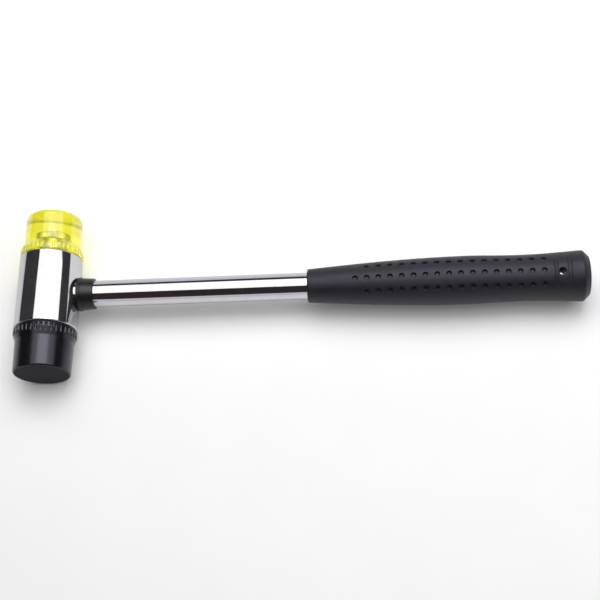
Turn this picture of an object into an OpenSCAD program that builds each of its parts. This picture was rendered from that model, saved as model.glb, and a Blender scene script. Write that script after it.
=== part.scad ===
// Soft face hammer with two screw-on faces, lying on its side.
// The handle runs along X and the head along Y, with the hard face towards +Y.
// The origin is under the middle of the whole hammer, on the surface it lies on.

/* [Head] */
// Diameter of the chromed steel head
head_d = 30; // [27:0.5:36]
// Length of the head between its two flat ends
head_l = 36.5; // [33:0.5:46]
// Chamfer on the head's edges and on the mouths of its threaded sockets
head_chamfer = 0.7; // [0.3:0.1:1.2]
// Metal left between a threaded socket and the handle's bore
socket_web = 1.2; // [0.8:0.1:2.5]
// Free room past the end of a stud in its socket
socket_gap = 0.6; // [0.3:0.1:1.5]

/* [Studs] */
// Outside diameter of the studs' thread
thread_d = 8; // [6:0.5:9]
// Pitch of the studs' thread
thread_pitch = 1.25; // [1:0.05:1.5]
// Diameter of the knurled anchor that is moulded into a face
anchor_d = 10.4; // [10:0.2:13]
// Height of the knurled anchor
anchor_h = 4.8; // [3:0.2:6]
// Depth of a stud inside its face
anchor_depth = 12.3; // [10:0.1:15]
// Radial play of a stud's thread in its socket
thread_play = 0.06; // [0.02:0.01:0.1]
// Play between a stud and the face around it
anchor_play = 0.04; // [0.02:0.01:0.1]

/* [Faces] */
// How far the edge of a flange lies inside the outline of the head it seats on
flange_inset = 0.05; // [0:0.05:1]
// How far a flange stands out from the face behind it
flange_step = 1.15; // [0.7:0.05:2]
// Height of the flange, up to where its slope meets the face
flange_h = 6.6; // [5:0.2:8]
// Height of the full-width band at the foot of the flange
flange_band = 3; // [1.6:0.2:4]
// Rounding of the flange's foot
flange_round = 1; // [0.4:0.1:1.4]
// Length of the hard face outside the head
hard_face_l = 21.8; // [19:0.2:28]
// Length of the soft face outside the head
soft_face_l = 21.8; // [19:0.2:28]
// How much a face narrows from its flange to its tip, on the radius
face_taper = 0.3; // [0:0.1:1.5]
// Rounding of the hard face's striking edge
hard_tip_round = 1.8; // [1:0.2:4]
// Rounding of the soft face's striking edge
soft_tip_round = 1; // [0.6:0.2:4]
// Number of finger notches round a flange
notch_count = 40; // [24:1:48]
// Width of a finger notch
notch_w = 1.2; // [0.8:0.1:1.6]

/* [Handle] */
// Outside diameter of the steel tube
tube_d = 12.7; // [10:0.1:14]
// Wall of the steel tube
tube_wall = 1.5; // [1:0.1:2.5]
// How far the tube goes past the head's axis
tube_seat = 8; // [6:0.5:9.5]
// Radial gap round the tube where it is seated in head, collar and grip
tube_fit = 0.04; // [0.02:0.01:0.1]
// Diameter of the spring pin that keeps the tube in the head
pin_d = 4; // [3:0.5:5]
// Wall of the rolled spring pin
pin_wall = 0.8; // [0.5:0.1:1]
// Width of the slot along the spring pin
pin_slot = 0.7; // [0.4:0.1:1.2]
// How far the pin goes past the tube's far wall
pin_over = 2; // [1:0.5:4]
// How deep the pin's end is sunk below the head's underside
pin_sunk = 0.6; // [0.3:0.1:2]
// Radial gap round the pin
pin_fit = 0.02; // [0.01:0.01:0.1]

/* [Collar] */
// Length of the black collar between head and tube
collar_l = 7.9; // [5:0.1:14]
// Wall of the collar at the head
collar_head_wall = 1.75; // [1.1:0.05:3]
// Wall of the collar at its tube end
collar_tube_wall = 1.1; // [0.9:0.05:2.5]
// Chamfer on the collar's edges
collar_chamfer = 0.8; // [0.2:0.1:1]

/* [Grip] */
// Distance from the head's axis to the front of the grip
grip_at = 124.4; // [90:0.2:160]
// Length of the grip
grip_l = 129.8; // [124:0.2:170]
// Wall of the grip at its front edge
grip_front_wall = 1.5; // [1.2:0.1:3]
// Diameter of the belly
belly_d = 22.6; // [20:0.1:27]
// Distance from the front of the grip to the belly
belly_at = 74; // [50:1:80]
// Diameter of the waist behind the belly
waist_d = 21.5; // [18:0.1:26]
// Distance from the front of the grip to the waist
waist_at = 98; // [90:1:110]
// Diameter of the flared butt
butt_d = 23.8; // [20:0.1:28]
// Chamfer round the end of the butt
butt_chamfer = 3; // [1:0.2:4]
// Rounding of the grip's front edge
front_round = 0.8; // [0.3:0.1:1]
// Diameter of a dimple
dimple_d = 2.3; // [1.4:0.1:3]
// Depth of a dimple
dimple_depth = 1.1; // [0.5:0.1:1.3]
// Spacing of the dimples along a row
dimple_pitch = 5.39; // [4:0.01:8]
// Angle between two rows of dimples
row_angle = 33; // [20:1:40]
// Distance from the front of the grip to the first dimple
dimple_at = 22.5; // [16:0.5:40]
// Diameter of the vent hole through the grip's wall
vent_d = 3.4; // [2.5:0.1:5]
// Distance from the vent hole to the end of the grip
vent_from_end = 13; // [10:0.5:20]
// Solid rubber that closes the grip behind the tube
butt_cap = 5; // [3:0.5:7]
// How far the grip is turned round the tube from the head's own top
grip_roll = 7; // [0:1:20]

/* [Hidden] */
$fn = 96;
eps = 0.01;

head_r = head_d / 2;
tube_r = tube_d / 2;
bore_r = tube_r + tube_fit;
flange_r = head_r - flange_inset;
face_root_r = flange_r - flange_step;
face_tip_r = face_root_r - face_taper;
thread_r = thread_d / 2;
// Depth of the ridges of a metric thread
thread_h = 0.6134 * thread_pitch;
socket_r = thread_r + thread_play;
socket_l = head_l / 2 - bore_r - socket_web;
thread_l = socket_l - socket_gap;
anchor_neck_l = anchor_depth - anchor_h;

grip_end = grip_at + grip_l;
vent_x = grip_end - vent_from_end;
tube_end = grip_end - butt_cap;
front_d = tube_d + 2 * grip_front_wall;
// Straight lengths that a curve of the grip is cut into
grip_steps = 10;
// Room kept between the last dimple and the vent hole
dimple_margin = 7;
dimple_count = floor((vent_x - dimple_margin - grip_at - dimple_at) / dimple_pitch) + 1;

axis_z = max(head_d, belly_d, butt_d) / 2;
middle_x = (grip_end - head_r) / 2;
middle_y = (hard_face_l - soft_face_l) / 2;

function mix(a, b, t) = a + (b - a) * t;

// Radius of the grip at a distance s from its front edge
function grip_r(s) =
    s < belly_at ? mix(front_d, belly_d, sin(90 * s / belly_at)) / 2
    : s < waist_at ? mix(belly_d, waist_d, (1 - cos(180 * (s - belly_at) / (waist_at - belly_at))) / 2) / 2
    : mix(waist_d, butt_d, 1 - cos(90 * (s - waist_at) / (grip_l - butt_chamfer - waist_at))) / 2;

function steps_between(a, b) = [for (i = [1:grip_steps]) mix(a, b, i / grip_steps)];

// Distances along the grip at which its outline has a point
function grip_stations() = concat(
    steps_between(front_round, belly_at),
    steps_between(belly_at, waist_at),
    steps_between(waist_at, grip_l - butt_chamfer));

function quarter_arc(centre, r, from) =
    [for (i = [0:6]) centre + r * [cos(from + 15 * i), sin(from + 15 * i)]];

// Puts a piece from the head's centre into the part's own frame
module placed() {
    translate([-middle_x, -middle_y, axis_z]) children();
}

// Turns +Z of a turned piece to the handle's direction
module along_handle() {
    rotate([0, 90, 0]) children();
}

// Stands a turned piece on the hard end of the head
module on_hard_end() {
    translate([0, head_l / 2, 0]) rotate([-90, 0, 0]) children();
}

// Stands a turned piece on the soft end of the head
module on_soft_end() {
    mirror([0, 1, 0]) on_hard_end() children();
}

module turned(outline) {
    rotate_extrude() polygon(outline);
}

module chamfered_bar(d, l, c) {
    turned([[0, 0], [d / 2 - c, 0], [d / 2, c], [d / 2, l - c], [d / 2 - c, l], [0, l]]);
}

module socket_hole() {
    mouth_r = socket_r + head_chamfer;
    turned([[0, eps], [mouth_r, eps], [mouth_r, 0], [socket_r, -head_chamfer],
            [socket_r, -socket_l], [0, -socket_l]]);
}

module pin_hole() {
    translate([0, 0, -head_r - eps])
        cylinder(r = pin_d / 2 + pin_fit, h = head_r + tube_r + pin_over + eps);
}

module head_body() {
    color("silver") placed() difference() {
        translate([0, -head_l / 2, 0]) rotate([-90, 0, 0]) chamfered_bar(head_d, head_l, head_chamfer);
        translate([-tube_seat, 0, 0]) along_handle() cylinder(r = bore_r, h = tube_seat + head_d);
        on_hard_end() socket_hole();
        on_soft_end() socket_hole();
        pin_hole();
    }
}

module handle_tube() {
    color("gainsboro") placed() difference() {
        translate([-tube_seat, 0, 0]) along_handle() cylinder(r = tube_r, h = tube_seat + tube_end);
        translate([-tube_seat - eps, 0, 0])
            along_handle() cylinder(r = tube_r - tube_wall, h = tube_seat + tube_end + 2 * eps);
        pin_hole();
    }
}

module handle_pin() {
    pin_l = head_r - pin_sunk + tube_r + pin_over;
    color("dimgray") placed() translate([0, 0, -head_r + pin_sunk]) difference() {
        chamfered_bar(pin_d, pin_l, pin_wall / 2);
        translate([0, 0, -eps]) cylinder(r = pin_d / 2 - pin_wall, h = pin_l + 2 * eps);
        translate([0, -pin_slot / 2, -eps]) cube([pin_d, pin_slot, pin_l + 2 * eps]);
    }
}

module neck_collar() {
    foot_r = tube_r + collar_head_wall;
    end_r = tube_r + collar_tube_wall;
    c = collar_chamfer;
    color("#1c1c1e") placed() translate([head_r, 0, 0]) along_handle()
        turned([[bore_r, 0], [foot_r - c, 0], [foot_r, c], [end_r, collar_l - c],
                [end_r - c, collar_l], [bore_r, collar_l]]);
}

module grip_outline() {
    front_r = front_d / 2;
    butt_r = butt_d / 2 - butt_chamfer;
    polygon(concat(
        [[0, grip_l], [0, tube_end - grip_at], [bore_r, tube_end - grip_at], [bore_r, 0]],
        [[front_r - front_round, 0]],
        [for (s = concat([front_round], grip_stations())) [grip_r(s), s]],
        [[butt_r, grip_l]]));
}

module dimple(row, s) {
    floor_r = grip_r(s) - dimple_depth;
    translate([grip_at + s, 0, 0]) rotate([row * row_angle, 0, 0])
        translate([0, 0, floor_r]) cylinder(d = dimple_d, h = belly_d);
}

// Three rows on one side of the grip, the middle one starting a dimple earlier
module dimple_field() {
    for (row = [-1:1]) {
        for (i = [abs(row):dimple_count - 1]) {
            dimple(row, dimple_at + i * dimple_pitch);
        }
    }
}

module grip() {
    color("#3c3c42") placed() difference() {
        translate([grip_at, 0, 0]) along_handle() rotate_extrude() grip_outline();
        rotate([grip_roll, 0, 0]) {
            dimple_field();
            rotate([180, 0, 0]) dimple_field();
            translate([vent_x, 0, 0]) cylinder(d = vent_d, h = butt_d);
        }
    }
}

// A face stands on z = 0 with its flange, and its tip points to +Z
module face_outline(face_l, tip_round) {
    polygon(concat(
        [[0, 0]],
        quarter_arc([flange_r - flange_round, flange_round], flange_round, -90),
        [[flange_r, flange_band], [face_root_r, flange_h]],
        quarter_arc([face_tip_r - tip_round, face_l - tip_round], tip_round, 0),
        [[0, face_l]]));
}

module anchor_room() {
    neck_r = thread_r + anchor_play;
    room_r = anchor_d / 2 + anchor_play;
    low = anchor_neck_l - anchor_play;
    high = anchor_depth + anchor_play;
    turned([[0, -eps], [neck_r, -eps], [neck_r, low], [room_r, low], [room_r, high], [0, high]]);
}

// The notches are straight, and run out on the slope of the flange
module finger_notches() {
    for (i = [0:notch_count - 1]) {
        rotate([0, 0, 360 * i / notch_count])
            translate([flange_r, 0, -eps]) cylinder(d = notch_w, h = flange_h + eps);
    }
}

module face(face_l, tip_round) {
    difference() {
        rotate_extrude() face_outline(face_l, tip_round);
        anchor_room();
        finger_notches();
    }
}

// The thread is drawn as closed ridges, from the tip of the stud upwards
module stud() {
    core_r = thread_r - thread_h;
    ridges = floor(thread_l / thread_pitch);
    run = ridges * thread_pitch;
    ridge = [for (i = [0:ridges - 1])
        each [[core_r, -run + i * thread_pitch], [thread_r, -run + (i + 0.5) * thread_pitch]]];
    turned(concat(
        [[0, -thread_l], [core_r, -thread_l]],
        ridge,
        [[core_r, 0], [thread_r, 0], [thread_r, anchor_neck_l], [anchor_d / 2, anchor_neck_l]],
        [[anchor_d / 2, anchor_depth], [0, anchor_depth]]));
}

module hard_face() {
    color("#e8e23c") placed() on_hard_end() face(hard_face_l, hard_tip_round);
}

module hard_face_stud() {
    color("lightgray") placed() on_hard_end() stud();
}

module soft_face() {
    color("#26262a") placed() on_soft_end() face(soft_face_l, soft_tip_round);
}

module soft_face_stud() {
    color("lightgray") placed() on_soft_end() stud();
}

head_body();
handle_tube();
handle_pin();
neck_collar();
grip();
hard_face();
hard_face_stud();
soft_face();
soft_face_stud();
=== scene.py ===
import math

import bmesh
import bpy
from mathutils import Matrix, Vector


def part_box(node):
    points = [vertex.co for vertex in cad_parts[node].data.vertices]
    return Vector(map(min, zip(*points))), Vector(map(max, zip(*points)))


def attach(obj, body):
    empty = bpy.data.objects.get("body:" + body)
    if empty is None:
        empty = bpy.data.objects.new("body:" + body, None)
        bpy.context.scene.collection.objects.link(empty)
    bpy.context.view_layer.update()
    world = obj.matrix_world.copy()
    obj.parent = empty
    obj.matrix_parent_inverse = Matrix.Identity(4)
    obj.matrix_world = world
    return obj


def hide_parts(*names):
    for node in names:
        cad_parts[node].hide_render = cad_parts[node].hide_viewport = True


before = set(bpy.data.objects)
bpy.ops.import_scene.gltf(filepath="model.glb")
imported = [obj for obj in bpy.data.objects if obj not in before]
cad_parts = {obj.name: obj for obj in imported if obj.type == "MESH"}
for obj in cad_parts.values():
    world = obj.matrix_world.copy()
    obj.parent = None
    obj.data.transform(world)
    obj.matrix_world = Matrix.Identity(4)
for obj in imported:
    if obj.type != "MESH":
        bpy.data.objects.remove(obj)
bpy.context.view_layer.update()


# Handle tube.
# A straight length of steel tube, cut square, polished and chrome plated.
# One end sits in the head's cross bore, and the other stops inside the closed butt of the grip.
mm = 0.001
tube_low, tube_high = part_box("handle_tube")
pin_low, pin_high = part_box("handle_pin")
handle_y = (tube_low.y + tube_high.y) / 2
handle_z = (tube_low.z + tube_high.z) / 2
tube_r = (tube_high.z - tube_low.z) / 2
tube_wall = 1.5 * mm
tube_bore_r = tube_r - tube_wall
tube_edge = 0.3 * mm
tube_columns = 192
pin_x = (pin_low.x + pin_high.x) / 2
pin_r = (pin_high.y - pin_low.y) / 2
pin_room = 0.02 * mm
sharp_above = 35


def about_handle(radius, turn, along):
    """Point at a radius from the handle's axis, turned from the top towards the soft face."""
    return Vector((along, handle_y - radius * math.sin(turn), handle_z + radius * math.cos(turn)))


def about_pin(radius, turn, along):
    """Point at a radius from the pin's upright axis."""
    return Vector((pin_x + radius * math.sin(turn), handle_y - radius * math.cos(turn), along))


def rounded(corners, steps=6):
    """Outline through corners of (radius, along, rounding), with each rounding drawn as an arc."""
    outline = []
    for index, (radius, along, rounding) in enumerate(corners):
        corner = Vector((radius, along))
        if rounding == 0:
            outline.append(corner)
            continue
        to_last = (Vector(corners[index - 1][:2]) - corner).normalized()
        to_next = (Vector(corners[(index + 1) % len(corners)][:2]) - corner).normalized()
        half = to_last.angle(to_next) / 2
        centre = corner + (to_last + to_next).normalized() * rounding / math.sin(half)
        start = corner + to_last * rounding / math.tan(half) - centre
        end = corner + to_next * rounding / math.tan(half) - centre
        first = math.atan2(start.y, start.x)
        sweep = math.remainder(math.atan2(end.y, end.x) - first, math.tau)
        for step in range(steps + 1):
            angle = first + sweep * step / steps
            outline.append(centre + rounding * Vector((math.cos(angle), math.sin(angle))))
    return outline


def bridge(bm, ring, following):
    """Joins two rings of vertices with faces. A ring of one vertex is a point on the axis."""
    count = max(len(ring), len(following))
    for index in range(count):
        after = index + 1
        corners = [ring[index % len(ring)], ring[after % len(ring)],
                   following[after % len(following)], following[index % len(following)]]
        bm.faces.new(list(dict.fromkeys(corners)))


def piece_of(bm, name, crease=sharp_above):
    """Smooth-shaded piece from a finished mesh, with its edges sharp above the crease angle."""
    bmesh.ops.recalc_face_normals(bm, faces=bm.faces[:])
    mesh = bpy.data.meshes.new(name)
    bm.to_mesh(mesh)
    bm.free()
    mesh.shade_smooth()
    mesh.set_sharp_from_angle(angle=math.radians(crease))
    piece = bpy.data.objects.new(name, mesh)
    bpy.context.scene.collection.objects.link(piece)
    return piece


def turned(name, outline, place, columns, relief=None):
    """Piece turned about an axis from (radius, along) points, closed on the axis or on itself."""
    bm = bmesh.new()
    rings = []
    for radius, along in outline:
        ring = []
        for column in range(columns if radius > 0 else 1):
            turn = math.tau * column / columns
            cut = relief(radius, along, turn) if relief else radius
            ring.append(bm.verts.new(place(cut, turn, along)))
        rings.append(ring)
    if len(rings[0]) > 1:
        rings.append(rings[0])
    for ring, following in zip(rings, rings[1:]):
        bridge(bm, ring, following)
    return piece_of(bm, name)


def drill(radius, place, start, end, columns=96):
    """Plain round cutter for a hole, turned by half a step so that its corners miss the piece's own."""
    def half_a_step_on(radius, turn, along):
        return place(radius, turn + math.pi / columns, along)
    outline = [(0, start), (radius, start), (radius, end), (0, end)]
    return turned("drill", outline, half_a_step_on, columns)


def drilled(piece, drills):
    """Takes the drills out of a piece and throws them away."""
    for tool in drills:
        hole = piece.modifiers.new("hole", "BOOLEAN")
        hole.object = tool
        hole.solver = "EXACT"
    bpy.context.view_layer.update()
    whole = piece.data
    piece.data = bpy.data.meshes.new_from_object(
        piece.evaluated_get(bpy.context.evaluated_depsgraph_get()))
    piece.data.name = whole.name
    piece.modifiers.clear()
    piece.data.set_sharp_from_angle(angle=math.radians(sharp_above))
    bpy.data.meshes.remove(whole)
    for tool in drills:
        bpy.data.meshes.remove(tool.data)


def new_finish(name, **values):
    """Material with a surface shader, and the values that are the same all over the piece."""
    finish = bpy.data.materials.new(name)
    finish.use_nodes = True
    shader = finish.node_tree.nodes["Principled BSDF"]
    for socket, value in values.items():
        shader.inputs[socket.replace("_", " ")].default_value = value
    return finish, shader


def add_node(finish, kind, values, **settings):
    """Node in a finish, with its settings and the values of its inputs."""
    node = finish.node_tree.nodes.new(kind)
    for setting, value in settings.items():
        setattr(node, setting, value)
    for socket, value in values.items():
        node.inputs[socket].default_value = value
    return node


def noise_over(finish, cells, stretch=(1, 1, 1), detail=4):
    """Noise over the piece itself, with so many cells to a metre."""
    link = finish.node_tree.links.new
    spot = add_node(finish, "ShaderNodeTexCoord", {})
    stretched = add_node(finish, "ShaderNodeMapping", {"Scale": stretch})
    noise = add_node(finish, "ShaderNodeTexNoise", {"Scale": cells, "Detail": detail})
    link(spot.outputs["Object"], stretched.inputs["Vector"])
    link(stretched.outputs["Vector"], noise.inputs["Vector"])
    return noise.outputs["Fac"]


def mottle(finish, pattern, low, high):
    """Value that drifts between low and high with a noise pattern."""
    spread = add_node(finish, "ShaderNodeMapRange",
                      {"From Min": 0.3, "From Max": 0.7, "To Min": low, "To Max": high})
    finish.node_tree.links.new(pattern, spread.inputs["Value"])
    return spread.outputs["Result"]


def two_tone(finish, shader, pattern, first, second):
    """Colour that drifts between two tones with a noise pattern."""
    tones = add_node(finish, "ShaderNodeMix", {}, data_type="RGBA")
    tones.inputs["A"].default_value = (*first, 1)
    tones.inputs["B"].default_value = (*second, 1)
    finish.node_tree.links.new(mottle(finish, pattern, 0, 1), tones.inputs["Factor"])
    finish.node_tree.links.new(tones.outputs["Result"], shader.inputs["Base Color"])


def grain(finish, shader, pattern, depth):
    """Fine relief of the skin, as deep as given."""
    bump = add_node(finish, "ShaderNodeBump", {"Strength": 1.0, "Distance": depth})
    finish.node_tree.links.new(pattern, bump.inputs["Height"])
    finish.node_tree.links.new(bump.outputs["Normal"], shader.inputs["Normal"])


def dress(piece, finish, body, node):
    """Gives a piece its finish, the body it moves with and the solid that it stands for."""
    piece.data.materials.append(finish)
    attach(piece, body)
    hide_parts(node)


def plated(name, film):
    """Polished chrome with a thin film of finger marks, which scatters up to so much of the light."""
    chrome, shader = new_finish(name, Specular_Tint=(0.78, 0.78, 0.80, 1))
    link = chrome.node_tree.links.new
    smears = noise_over(chrome, 260, detail=6)
    two_tone(chrome, shader, smears, (0.56, 0.56, 0.58), (0.60, 0.60, 0.62))
    link(mottle(chrome, smears, 0.02, 0.1), shader.inputs["Roughness"])
    marks = noise_over(chrome, 450, stretch=(1, 0.6, 1), detail=8)
    link(mottle(chrome, marks, 1 - film / 3, 1 - film), shader.inputs["Metallic"])
    grain(chrome, shader, noise_over(chrome, 90, detail=2), 0.006 * mm)
    return chrome


tube_chrome = plated("tube chrome", 0.02)
tube = turned("chromed_tube", rounded([
    (tube_bore_r, tube_low.x, tube_edge),
    (tube_r, tube_low.x, tube_edge),
    (tube_r, tube_high.x, tube_edge),
    (tube_bore_r, tube_high.x, tube_edge)]), about_handle, tube_columns)
drilled(tube, [drill(pin_r + pin_room, about_pin, pin_low.z, pin_high.z)])
dress(tube, tube_chrome, "handle_assembly", "handle_tube")


# Head.
# A short steel bar, turned, chamfered at both ends and chrome plated.
# It has a threaded socket in each end, a cross bore for the handle and a hole below for the pin.
head_low, head_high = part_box("head_body")
head_x = (head_low.x + head_high.x) / 2
head_z = (head_low.z + head_high.z) / 2
head_r = (head_high.x - head_low.x) / 2
head_half = (head_high.y - head_low.y) / 2
head_edge = 0.7 * mm
head_columns = 320
thread_pitch = 1.25 * mm
socket_r = 4.06 * mm
socket_l = 10.66 * mm
socket_groove = 0.4 * mm
socket_mouth = 0.5 * mm
tube_fit = 0.04 * mm


def about_head(radius, turn, along):
    """Point at a radius from the head's axis, turned from the top towards the grip."""
    return Vector((head_x + radius * math.sin(turn), along, head_z + radius * math.cos(turn)))


def socket_outline():
    """Threaded socket from its floor out to its mouth, then the edge of the head's end."""
    outline = [(0, head_half - socket_l), (socket_r, head_half - socket_l)]
    for groove in range(math.floor(socket_l / thread_pitch)):
        start = head_half - socket_l + groove * thread_pitch
        outline.append((socket_r + socket_groove, start + thread_pitch / 2))
        outline.append((socket_r, start + thread_pitch))
    edge = rounded([
        (socket_r, head_half - socket_mouth, 0),
        (socket_r + socket_mouth, head_half, 0),
        (head_r, head_half, head_edge),
        (head_r, 0, 0)])
    return outline + [tuple(point) for point in edge[:-1]]


hard_end = socket_outline()
soft_end = [(radius, -along) for radius, along in hard_end]
head = turned("chromed_head", hard_end + soft_end[::-1], about_head, head_columns)
drilled(head, [
    drill(tube_r + tube_fit, about_handle, tube_low.x, head_high.x + head_r, tube_columns),
    drill(pin_r + pin_room, about_pin, head_low.z - head_r, pin_high.z)])
dress(head, plated("head chrome", 0.035), "handle_assembly", "head_body")


# Spring pin.
# A slotted pin rolled from blue spring steel, driven in from below through the head and the tube.
# It is the only thing that holds the two together.
pin_steel, pin_shader = new_finish("rolled spring steel", Metallic=1.0)
pin_scale = noise_over(pin_steel, 900, stretch=(1, 1, 0.15))
two_tone(pin_steel, pin_shader, pin_scale, (0.20, 0.20, 0.22), (0.38, 0.38, 0.40))
pin_steel.node_tree.links.new(mottle(pin_steel, pin_scale, 0.28, 0.5), pin_shader.inputs["Roughness"])
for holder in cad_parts["handle_pin"].material_slots:
    holder.material = pin_steel


# Neck collar.
# A moulded ring of black plastic, pushed along the tube up to the head.
# It hides the joint between the tube and the bore, and a low rim runs round it next to the head.
collar_low, collar_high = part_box("neck_collar")
collar_head_r = (collar_high.z - collar_low.z) / 2
collar_thin_wall = 0.95 * mm
collar_tube_r = tube_r + collar_thin_wall
collar_bore_r = tube_r + tube_fit
collar_rim_l = 1.5 * mm
collar_rim_end = collar_low.x + collar_rim_l
collar_rim_step = 0.35 * mm
collar_lip = 0.6 * mm
collar_bore_lip = 0.05 * mm
collar_columns = 160
collar_plastic, collar_shader = new_finish("black moulded plastic", Specular_IOR_Level=0.36)
collar_skin = noise_over(collar_plastic, 700, detail=5)
two_tone(collar_plastic, collar_shader, collar_skin, (0.006, 0.005, 0.005), (0.013, 0.012, 0.012))
collar_plastic.node_tree.links.new(
    mottle(collar_plastic, collar_skin, 0.28, 0.4), collar_shader.inputs["Roughness"])
grain(collar_plastic, collar_shader, noise_over(collar_plastic, 2500), 0.01 * mm)
collar = turned("plastic_collar", rounded([
    (collar_bore_r, collar_low.x, collar_bore_lip),
    (collar_head_r, collar_low.x, collar_lip),
    (collar_head_r, collar_rim_end, collar_lip),
    (collar_head_r - collar_rim_step, collar_rim_end + collar_rim_step, collar_rim_step / 2),
    (collar_tube_r, collar_high.x, collar_lip),
    (collar_bore_r, collar_high.x, collar_bore_lip)]), about_handle, collar_columns)
dress(collar, collar_plastic, "handle_assembly", "neck_collar")


# Grip.
# A sleeve of charcoal rubber moulded with a closed butt and pulled over the end of the tube.
# Rows of blind dimples run along front and back, and a vent with two fine bands lets the air out.
grip_low, grip_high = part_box("grip")
grip_l = grip_high.x - grip_low.x
grip_front_wall = 1.5 * mm
grip_front_r = tube_r + grip_front_wall
grip_front_round = 0.8 * mm
grip_bore_r = tube_r + tube_fit
belly_r = 11.3 * mm
belly_at = 74 * mm
waist_r = 10.75 * mm
waist_at = 98 * mm
butt_r = 11.9 * mm
butt_chamfer = 3 * mm
butt_edge = 1 * mm
butt_soft = 1.6 * mm
butt_at = grip_l - butt_chamfer
grip_roll = math.radians(10.5)
row_angle = math.radians(33)
row_turn = math.radians(-4.5)
dimple_at = 22.5 * mm
dimple_pitch = 5.39 * mm
dimple_count = 17
dimple_r = 1.15 * mm
dimple_depth = 1.3 * mm
vent_at = grip_l - 13 * mm
vent_r = 1.7 * mm
vent_half = 1.95 * mm
band_edges = [(113.5 * mm, 114.6 * mm), (119.45 * mm, 120.7 * mm)]
band_rise = 0.1 * mm
band_shoulder = 0.25
band_groove = 0.1 * mm
band_groove_w = 0.25 * mm
band_reach = math.radians(40)
band_fade = math.radians(6)
cell_steps = 8
side_columns = 18
bore_rows = 6


def between(first, second, share):
    """Value that lies a share of the way from the first to the second."""
    return first + (second - first) * share


def grip_radius(s):
    """Radius of the sleeve at a distance from its front: a swell, a waist, and a flare to the butt."""
    if s < belly_at:
        return between(grip_front_r, belly_r, math.sin(math.pi / 2 * s / belly_at))
    if s < waist_at:
        share = (s - belly_at) / (waist_at - belly_at)
        return between(belly_r, waist_r, (1 - math.cos(math.pi * share)) / 2)
    share = (s - waist_at) / (butt_at - waist_at)
    return between(waist_r, butt_r, 1 - math.cos(math.pi / 2 * share))


def band_relief(s, turn):
    """Height of the two fine bands beside the vent, each with a groove along both edges."""
    off_top = abs(math.remainder(turn, math.tau))
    fade = min(1, max(0, (band_reach + band_fade - off_top) / band_fade))
    for start, end in band_edges:
        inside = min(s - start, end - s)
        if inside > 0:
            return fade * band_rise * min(1, inside / (band_shoulder * (end - start)))
        if inside > -band_groove_w:
            return -fade * band_groove * math.sin(math.pi * -inside / band_groove_w)
    return 0


def sleeve_radius(s, turn):
    """Outer radius of the sleeve, with its bands."""
    return grip_radius(s) + band_relief(s, turn)


def bore_radius(s, turn):
    """Radius of the sleeve's bore, the same everywhere."""
    return grip_bore_r


def on_grip(radius, s, turn):
    """Point on the sleeve, with the turn counted from the line of the vent."""
    return about_handle(radius, turn + grip_roll, grip_low.x + s)


def spread_lines(*stops):
    """Values that run through stops, each given as (value, steps from the one before)."""
    lines = [stops[0][0]]
    for (start, _), (end, steps) in zip(stops, stops[1:]):
        lines += [between(start, end, step / steps) for step in range(1, steps + 1)]
    return lines


def line_at(lines, value):
    """Number of the line that lies nearest to a value."""
    return min(range(len(lines)), key=lambda number: abs(lines[number] - value))


def skin_sheet(bm, stations, turns, radius_at, cells):
    """Sheet of faces round the sleeve. The square cells are left open for holes."""
    rings = [[bm.verts.new(on_grip(radius_at(s, turn), s, turn)) for turn in turns] for s in stations]
    opened = {(row + down, column + along) for row, column in cells
              for down in range(cell_steps) for along in range(cell_steps)}
    for row in range(len(stations) - 1):
        for column in range(len(turns)):
            if (row, column) not in opened:
                after = (column + 1) % len(turns)
                bm.faces.new([rings[row][column], rings[row][after],
                              rings[row + 1][after], rings[row + 1][column]])
    return rings


def round_hole(bm, rings, stations, turns, cell, centre, radius_at, circles):
    """Fills an open cell with rings that run from its square edge in to the circles of a hole."""
    row, column = cell
    rim = [(row, column + step) for step in range(cell_steps)]
    rim += [(row + step, column + cell_steps) for step in range(cell_steps)]
    rim += [(row + cell_steps, column + cell_steps - step) for step in range(cell_steps)]
    rim += [(row + cell_steps - step, column) for step in range(cell_steps)]
    ring = [rings[down][along] for down, along in rim]
    scale = grip_radius(centre[0])
    places = [(stations[down] - centre[0], (turns[along] - centre[1]) * scale) for down, along in rim]
    rays = [Vector(place).normalized() for place in places]
    first_r = circles[0][0]
    halfway = [(Vector(place) + ray * first_r) / 2 for place, ray in zip(places, rays)]
    for offsets, depth in [(halfway, 0)] + [([ray * r for ray in rays], deep) for r, deep in circles]:
        inner = []
        for offset in offsets:
            s = centre[0] + offset.x
            turn = centre[1] + offset.y / scale
            inner.append(bm.verts.new(on_grip(radius_at(s, turn) - depth, s, turn)))
        bridge(bm, ring, inner)
        ring = inner
    return ring


field_half = 1.5 * row_angle
grip_turns = spread_lines(
    (-field_half, 0), (field_half, 3 * cell_steps), (math.pi - field_half, side_columns),
    (math.pi + field_half, 3 * cell_steps), (math.tau - field_half, side_columns))[:-1]
first_cell = dimple_at - dimple_pitch / 2
last_cell = first_cell + dimple_count * dimple_pitch
grip_stations = spread_lines(
    (grip_front_round, 0), (first_cell, 18), (last_cell, dimple_count * cell_steps),
    (band_edges[0][0] - band_groove_w, 2), (vent_at - vent_half, 12),
    (vent_at + vent_half, cell_steps), (band_edges[1][0] - band_groove_w, 2),
    (band_edges[1][1] + band_groove_w, 14), (butt_at - butt_edge, 5))
vent_row = line_at(grip_stations, vent_at - vent_half)
first_row = line_at(grip_stations, first_cell)
field_columns = [0, line_at(grip_turns, math.pi - field_half)]
dimples = []
for side, field_column in enumerate(field_columns):
    for line in (-1, 0, 1):
        for place in range(dimple_count if line == 0 else dimple_count - 1):
            station = place if line == 0 else place + 1
            cell = (first_row + station * cell_steps, field_column + (line + 1) * cell_steps)
            s = dimple_at + station * dimple_pitch
            row_off = line * row_angle * belly_r / grip_radius(s)
            dimples.append((cell, (s, side * math.pi + row_off + row_turn)))
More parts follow.
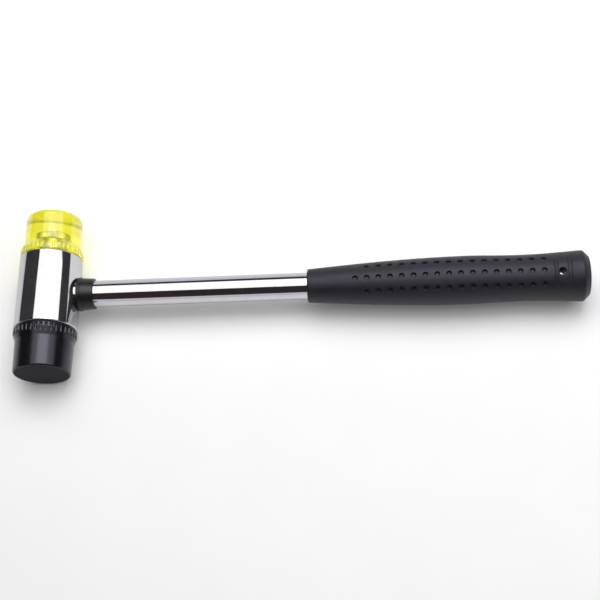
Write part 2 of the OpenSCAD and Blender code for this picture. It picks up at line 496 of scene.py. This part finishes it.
vent_cell = (vent_row, cell_steps)
vent_centre = (vent_at, 0)
dimple_circles = [(1.30 * dimple_r, 0), (1.14 * dimple_r, 0.02 * dimple_depth),
                  (1.04 * dimple_r, 0.08 * dimple_depth), (dimple_r, 0.2 * dimple_depth),
                  (0.97 * dimple_r, 0.7 * dimple_depth), (0.88 * dimple_r, 0.92 * dimple_depth),
                  (0.66 * dimple_r, dimple_depth), (0.33 * dimple_r, dimple_depth)]
vent_circles = [(1.12 * vent_r, 0), (1.05 * vent_r, 0.02 * mm),
                (1.01 * vent_r, 0.1 * mm), (vent_r, 0.25 * mm)]

bm = bmesh.new()
open_cells = [cell for cell, _ in dimples] + [vent_cell]
sleeve = skin_sheet(bm, grip_stations, grip_turns, sleeve_radius, open_cells)
for cell, centre in dimples:
    floor_ring = round_hole(
        bm, sleeve, grip_stations, grip_turns, cell, centre, sleeve_radius, dimple_circles)
    middle = on_grip(grip_radius(centre[0]) - dimple_depth, *centre)
    bridge(bm, floor_ring, [bm.verts.new(middle)])
bore_end = tube_high.x - grip_low.x
bore_stations = spread_lines(
    (0, 0), (vent_at - vent_half, bore_rows), (vent_at + vent_half, cell_steps), (bore_end, 1))
bore_cell = (bore_rows, cell_steps)
bore = skin_sheet(bm, bore_stations, grip_turns, bore_radius, [bore_cell])
vent_mouth = round_hole(
    bm, sleeve, grip_stations, grip_turns, vent_cell, vent_centre, sleeve_radius, vent_circles)
vent_foot = round_hole(
    bm, bore, bore_stations, grip_turns, bore_cell, vent_centre, bore_radius, [(vent_r, 0)])
bridge(bm, vent_mouth, vent_foot)
front_outline = rounded([
    (grip_bore_r, 0, 0),
    (grip_radius(grip_front_round), 0, grip_front_round),
    (grip_radius(grip_front_round), grip_front_round, 0)])[1:-2]
butt_outline = rounded([
    (grip_radius(butt_at - butt_edge), butt_at - butt_edge, 0),
    (butt_r, butt_at, butt_soft),
    (butt_r - butt_chamfer, grip_l, butt_soft),
    (0, grip_l, 0)])[1:]
ends = {}
for end, outline in (("front", front_outline), ("butt", butt_outline)):
    ends[end] = []
    for radius, s in outline:
        turns = grip_turns if radius > 0 else [0]
        ends[end].append([bm.verts.new(on_grip(radius, s, turn)) for turn in turns])
bore_floor = [bm.verts.new(on_grip(0, bore_end, 0))]
for chain in (
        [bore[0], *ends["front"], sleeve[0]],
        [sleeve[-1], *ends["butt"]],
        [bore[-1], bore_floor]):
    for ring, following in zip(chain, chain[1:]):
        bridge(bm, ring, following)
grip = piece_of(bm, "rubber_grip", crease=50)

grip_rubber, grip_shader = new_finish(
    "charcoal rubber", Specular_IOR_Level=0.5, Specular_Tint=(0.80, 0.78, 1.0, 1))
grip_skin = noise_over(grip_rubber, 350, detail=6)
two_tone(grip_rubber, grip_shader, grip_skin, (0.007, 0.007, 0.008), (0.012, 0.012, 0.013))
grip_rubber.node_tree.links.new(
    mottle(grip_rubber, grip_skin, 0.46, 0.58), grip_shader.inputs["Roughness"])
grain(grip_rubber, grip_shader, noise_over(grip_rubber, 3000), 0.03 * mm)
dress(grip, grip_rubber, "handle_assembly", "grip")


# Face studs.
# A plated steel stud in each face: a rolled thread that screws into the head, a neck, and a
# knurled anchor that the face is moulded round. Face and stud turn together.
thread_r = 4 * mm
thread_root_r = 3.25 * mm
thread_l = 10.06 * mm
thread_rows_a_turn = 10
thread_crest = 1.2
neck_l = 7.5 * mm
anchor_r = 5.2 * mm
anchor_top = 12.3 * mm
anchor_edge = 0.3 * mm
knurl_count = 48
knurl_depth = 0.2 * mm
stud_columns = knurl_count * 4


def about_face(side):
    """Places points about the axis of the hard face (side 1) or the soft face (side -1)."""
    def place(radius, turn, out):
        return Vector((head_x + side * radius * math.sin(turn), side * (head_half + out),
                       head_z + radius * math.cos(turn)))
    return place


def stud_relief(radius, out, turn):
    """Helical thread below the head's end, and straight knurling round the anchor."""
    if -thread_l < out < 0 and radius > thread_root_r:
        wave = abs(2 * ((out / thread_pitch - turn / math.tau) % 1) - 1)
        lead_in = out + thread_l + thread_root_r
        return min(between(thread_root_r, thread_r, min(1, thread_crest * wave)), lead_in)
    if radius > anchor_r - anchor_edge / 2:
        wave = abs(2 * ((turn * knurl_count / math.tau) % 1) - 1)
        return radius - knurl_depth * wave
    return radius


stud_steel, stud_shader = new_finish("zinc plated steel", Metallic=1.0)
stud_skin = noise_over(stud_steel, 1200)
two_tone(stud_steel, stud_shader, stud_skin, (0.62, 0.63, 0.62), (0.76, 0.77, 0.75))
stud_steel.node_tree.links.new(
    mottle(stud_steel, stud_skin, 0.26, 0.42), stud_shader.inputs["Roughness"])
thread_rows = round(thread_l / thread_pitch * thread_rows_a_turn)
stud_outline = [(0, -thread_l), (thread_root_r, -thread_l)]
stud_outline += [(thread_r, -thread_l * (1 - row / thread_rows)) for row in range(1, thread_rows + 1)]
stud_outline += [tuple(point) for point in rounded([
    (thread_r, 0, 0),
    (thread_r, neck_l, 0),
    (anchor_r, neck_l, anchor_edge),
    (anchor_r, anchor_top, anchor_edge),
    (0, anchor_top, 0)], steps=3)[1:]]
for kind, side in (("hard", 1), ("soft", -1)):
    stud = turned(
        f"{kind}_face_threaded_stud", stud_outline, about_face(side), stud_columns, stud_relief)
    dress(stud, stud_steel, f"{kind}_cap", f"{kind}_face_stud")


# Striking faces.
# Two plugs of one moulded form, one of clear yellow plastic and one of black rubber.
# Each sits on the head's end with a flange that is notched all round for the fingers.
face_low, face_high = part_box("hard_face")
face_l = face_high.y - head_half
face_seat = 0.05 * mm
flange_r = (face_high.x - face_low.x) / 2
flange_round = 1 * mm
flange_band = 3 * mm
flange_h = 6.6 * mm
flange_foot = 0.8 * mm
flange_step = 1.15 * mm
face_draft = 0.3 * mm
face_root_r = flange_r - flange_step
face_tip_r = face_root_r - face_draft
notch_count = 40
notch_r = 0.6 * mm
notch_from = 1.7 * mm
band_rows = 10
notch_rows = 24
face_columns = notch_count * 14
inside_metal = 0.3 * mm


def notched(share):
    """Relief of a face's finger notches: round-ended channels that run out on the slope."""
    def relief(radius, out, turn):
        if out > flange_h or radius < flange_r - 2 * notch_r:
            return radius
        off_middle = flange_r * math.remainder(turn, math.tau / notch_count)
        off_end = max(0, notch_from - out)
        depth = share * math.sqrt(max(0, notch_r ** 2 - off_middle ** 2 - off_end ** 2))
        return min(radius, flange_r - depth)
    return relief


def face_outline(tip_round):
    """Outline of a face: the pocket for the stud's anchor, the flange, its slope and the end."""
    pocket_r = anchor_r - inside_metal
    pocket_top = anchor_top - inside_metal
    pocket_foot = neck_l + inside_metal
    neck_r = thread_r - inside_metal
    pocket = [(0, pocket_top), (pocket_r, pocket_top), (pocket_r, pocket_foot), (neck_r, pocket_foot),
              (neck_r, face_seat), (flange_r - 2 * notch_r, face_seat)]
    foot = rounded([
        (flange_r - 2 * notch_r, face_seat, 0),
        (flange_r, face_seat, flange_round),
        (flange_r, flange_band, 0)])[1:-1]
    band = [(flange_r, between(foot[-1].y, flange_band, row / band_rows))
            for row in range(1, band_rows + 1)]
    slope_drop = (flange_r - face_root_r) / (flange_h - flange_band)
    run_out = notch_r / slope_drop
    slope = []
    for row in range(1, notch_rows + 1):
        share = row / notch_rows
        slope.append((flange_r - run_out * slope_drop * share, flange_band + run_out * share))
    end = rounded([
        (*slope[-1], 0),
        (face_root_r, flange_h, flange_foot),
        (face_tip_r, face_l, tip_round),
        (0, face_l, 0)], steps=8)[1:]
    return pocket + [tuple(point) for point in foot] + band + slope + [tuple(point) for point in end]


clear_plastic, clear_shader = new_finish(
    "clear yellow plastic", Transmission_Weight=0.72, IOR=1.49, Coat_Weight=0.6, Coat_Roughness=0.12)
clear_flow = noise_over(clear_plastic, 120, detail=3)
two_tone(clear_plastic, clear_shader, clear_flow, (0.88, 0.84, 0.06), (0.93, 0.90, 0.11))
clear_link = clear_plastic.node_tree.links.new
clear_link(mottle(clear_plastic, clear_flow, 0.03, 0.1), clear_shader.inputs["Roughness"])
lamp_ray = add_node(clear_plastic, "ShaderNodeLightPath", {})
lamp_tint = add_node(clear_plastic, "ShaderNodeBsdfTransparent", {"Color": (0.97, 0.95, 0.55, 1)})
let_through = add_node(clear_plastic, "ShaderNodeMixShader", {})
clear_link(lamp_ray.outputs["Is Shadow Ray"], let_through.inputs["Fac"])
clear_link(clear_shader.outputs["BSDF"], let_through.inputs[1])
clear_link(lamp_tint.outputs["BSDF"], let_through.inputs[2])
clear_surface = clear_plastic.node_tree.nodes["Material Output"].inputs["Surface"]
clear_link(let_through.outputs["Shader"], clear_surface)

face_rubber, rubber_shader = new_finish(
    "black moulded rubber", Specular_IOR_Level=0.54, Specular_Tint=(0.86, 0.83, 1.0, 1))
rubber_skin = noise_over(face_rubber, 500, detail=6)
two_tone(face_rubber, rubber_shader, rubber_skin, (0.003, 0.003, 0.004), (0.006, 0.006, 0.007))
rubber_way = add_node(face_rubber, "ShaderNodeTexCoord", {})
rubber_split = add_node(face_rubber, "ShaderNodeSeparateXYZ", {})
scuffed_end = add_node(face_rubber, "ShaderNodeMapRange", {
    "From Min": -0.9, "From Max": -0.98, "To Min": 0, "To Max": 0.6})
rubber_dull = add_node(face_rubber, "ShaderNodeMath", {}, operation="ADD")
rubber_link = face_rubber.node_tree.links.new
rubber_link(rubber_way.outputs["Normal"], rubber_split.inputs["Vector"])
rubber_link(rubber_split.outputs["Y"], scuffed_end.inputs["Value"])
rubber_link(mottle(face_rubber, rubber_skin, 0.21, 0.28), rubber_dull.inputs[0])
rubber_link(scuffed_end.outputs["Result"], rubber_dull.inputs[1])
rubber_link(rubber_dull.outputs[0], rubber_shader.inputs["Roughness"])
grain(face_rubber, rubber_shader, noise_over(face_rubber, 2200), 0.005 * mm)

for kind, side, tip_round, notch_share, finish, slot in (
        ("hard", 1, 1.8 * mm, 0.5, clear_plastic, "clear_plastic"),
        ("soft", -1, 1.0 * mm, 1.0, face_rubber, "face_rubber")):
    face = turned(
        f"{kind}_striking_face", face_outline(tip_round), about_face(side), face_columns,
        notched(notch_share))
    dress(face, finish, f"{kind}_cap", f"{kind}_face")


# Studio.
# A pale floor that the hammer lies on, a large soft light with a brighter core, and a dim room.
# The camera looks down on the hammer from the soft face's side, with the head's axis upright.
floor_half = 20.0
floor_mesh = bpy.data.meshes.new("pale_floor")
floor_mesh.from_pydata(
    [(-floor_half, -floor_half, 0), (floor_half, -floor_half, 0),
     (floor_half, floor_half, 0), (-floor_half, floor_half, 0)], [], [(0, 1, 2, 3)])
floor = bpy.data.objects.new("pale_floor", floor_mesh)
bpy.context.scene.collection.objects.link(floor)
floor_finish, floor_shader = new_finish("matt white paper", Roughness=0.9, Specular_IOR_Level=0.1)
floor_fibres = noise_over(floor_finish, 30)
two_tone(floor_finish, floor_shader, floor_fibres, (0.85, 0.85, 0.85), (0.87, 0.87, 0.87))
floor_glow = 0.1
seen = add_node(floor_finish, "ShaderNodeLightPath", {})
either = add_node(floor_finish, "ShaderNodeMath", {}, operation="MAXIMUM")
any_ray = add_node(floor_finish, "ShaderNodeMath", {}, operation="MAXIMUM")
glow = add_node(floor_finish, "ShaderNodeMath", {1: floor_glow}, operation="MULTIPLY")
floor_link = floor_finish.node_tree.links.new
floor_link(seen.outputs["Is Camera Ray"], either.inputs[0])
floor_link(seen.outputs["Is Glossy Ray"], either.inputs[1])
floor_link(either.outputs[0], any_ray.inputs[0])
floor_link(seen.outputs["Is Transmission Ray"], any_ray.inputs[1])
floor_link(any_ray.outputs[0], glow.inputs[0])
floor_link(glow.outputs[0], floor_shader.inputs["Emission Strength"])
floor_shader.inputs["Emission Color"].default_value = (1, 1, 1, 1)
floor_mesh.materials.append(floor_finish)

light_h = 0.8
for name, radiance, drop, low, high in (
        ("softbox", 1.7, 0, (-0.57, -0.335), (1.6, 1.05)),
        ("softbox_core", 3.1, 0.02, (-0.12, 0.0), (0.6, 0.65))):
    lamp = bpy.data.lights.new(name, "AREA")
    lamp.shape = "RECTANGLE"
    lamp.size, lamp.size_y = [(end - start) * light_h for start, end in zip(low, high)]
    lamp.energy = radiance * math.pi * lamp.size * lamp.size_y
    across, along = [(start + end) / 2 * light_h for start, end in zip(low, high)]
    stand = bpy.data.objects.new(name, lamp)
    stand.location = (head_x + across, along, head_z + light_h - drop)
    stand.visible_camera = False
    bpy.context.scene.collection.objects.link(stand)

room = bpy.data.worlds.new("studio room")
room.use_nodes = True
bpy.context.scene.world = room
room_dark = (0.036, 0.035, 0.039, 1)
room_front = (0.036, 0.022, 0.021, 1)
room_pale = (0.84, 0.83, 0.95, 1)
wall_corner = 0.6
wall_middle = 0.85
no_wall = -0.1
front_from = -0.2
front_to = -0.4
pale_height_front = 0.22
pale_height_back = 0.36
pale_blur = 0.03
way = add_node(room, "ShaderNodeTexCoord", {})
split = add_node(room, "ShaderNodeSeparateXYZ", {})
to_back = add_node(room, "ShaderNodeMapRange", {
    "From Min": wall_corner, "From Max": wall_middle, "To Min": no_wall, "To Max": pale_height_back})
to_front = add_node(room, "ShaderNodeMapRange", {
    "From Min": -wall_corner, "From Max": -wall_middle, "To Min": no_wall, "To Max": pale_height_front})
wall_top = add_node(room, "ShaderNodeMath", {}, operation="MAXIMUM")
below_top = add_node(room, "ShaderNodeMath", {}, operation="SUBTRACT")
on_wall = add_node(room, "ShaderNodeMapRange", {"From Min": -pale_blur, "From Max": pale_blur})
at_front = add_node(room, "ShaderNodeMapRange", {"From Min": front_from, "From Max": front_to})
dark_tone = add_node(room, "ShaderNodeMix", {}, data_type="RGBA")
dark_tone.inputs["A"].default_value = room_dark
dark_tone.inputs["B"].default_value = room_front
room_tone = add_node(room, "ShaderNodeMix", {}, data_type="RGBA")
room_tone.inputs["B"].default_value = room_pale
room_link = room.node_tree.links.new
room_link(way.outputs["Generated"], split.inputs["Vector"])
room_link(split.outputs["Y"], to_back.inputs["Value"])
room_link(split.outputs["Y"], to_front.inputs["Value"])
room_link(to_back.outputs["Result"], wall_top.inputs[0])
room_link(to_front.outputs["Result"], wall_top.inputs[1])
room_link(wall_top.outputs[0], below_top.inputs[0])
room_link(split.outputs["Z"], below_top.inputs[1])
room_link(below_top.outputs[0], on_wall.inputs["Value"])
room_link(split.outputs["Y"], at_front.inputs["Value"])
room_link(at_front.outputs["Result"], dark_tone.inputs["Factor"])
room_link(dark_tone.outputs["Result"], room_tone.inputs["A"])
room_link(on_wall.outputs["Result"], room_tone.inputs["Factor"])
room_link(room_tone.outputs["Result"], room.node_tree.nodes["Background"].inputs["Color"])

view_azimuth = math.radians(12.2)
view_elevation = math.radians(66.3)
view_distance = 563.7 * mm
view_aim = Vector((1.1 * mm, -7.0 * mm, handle_z))
lens = 72.36
back = Vector((math.sin(view_azimuth) * math.cos(view_elevation),
               -math.cos(view_azimuth) * math.cos(view_elevation), math.sin(view_elevation)))
right = Vector((0, 1, 0)).cross(back).normalized()
up = back.cross(right)
camera_lens = bpy.data.cameras.new("camera")
camera_lens.lens = lens
camera = bpy.data.objects.new("camera", camera_lens)
camera_turn = Matrix((right, up, back)).transposed().to_4x4()
camera.matrix_world = Matrix.Translation(view_aim + back * view_distance) @ camera_turn
bpy.context.scene.collection.objects.link(camera)
bpy.context.scene.camera = camera
bpy.context.scene.view_settings.view_transform = "Standard"
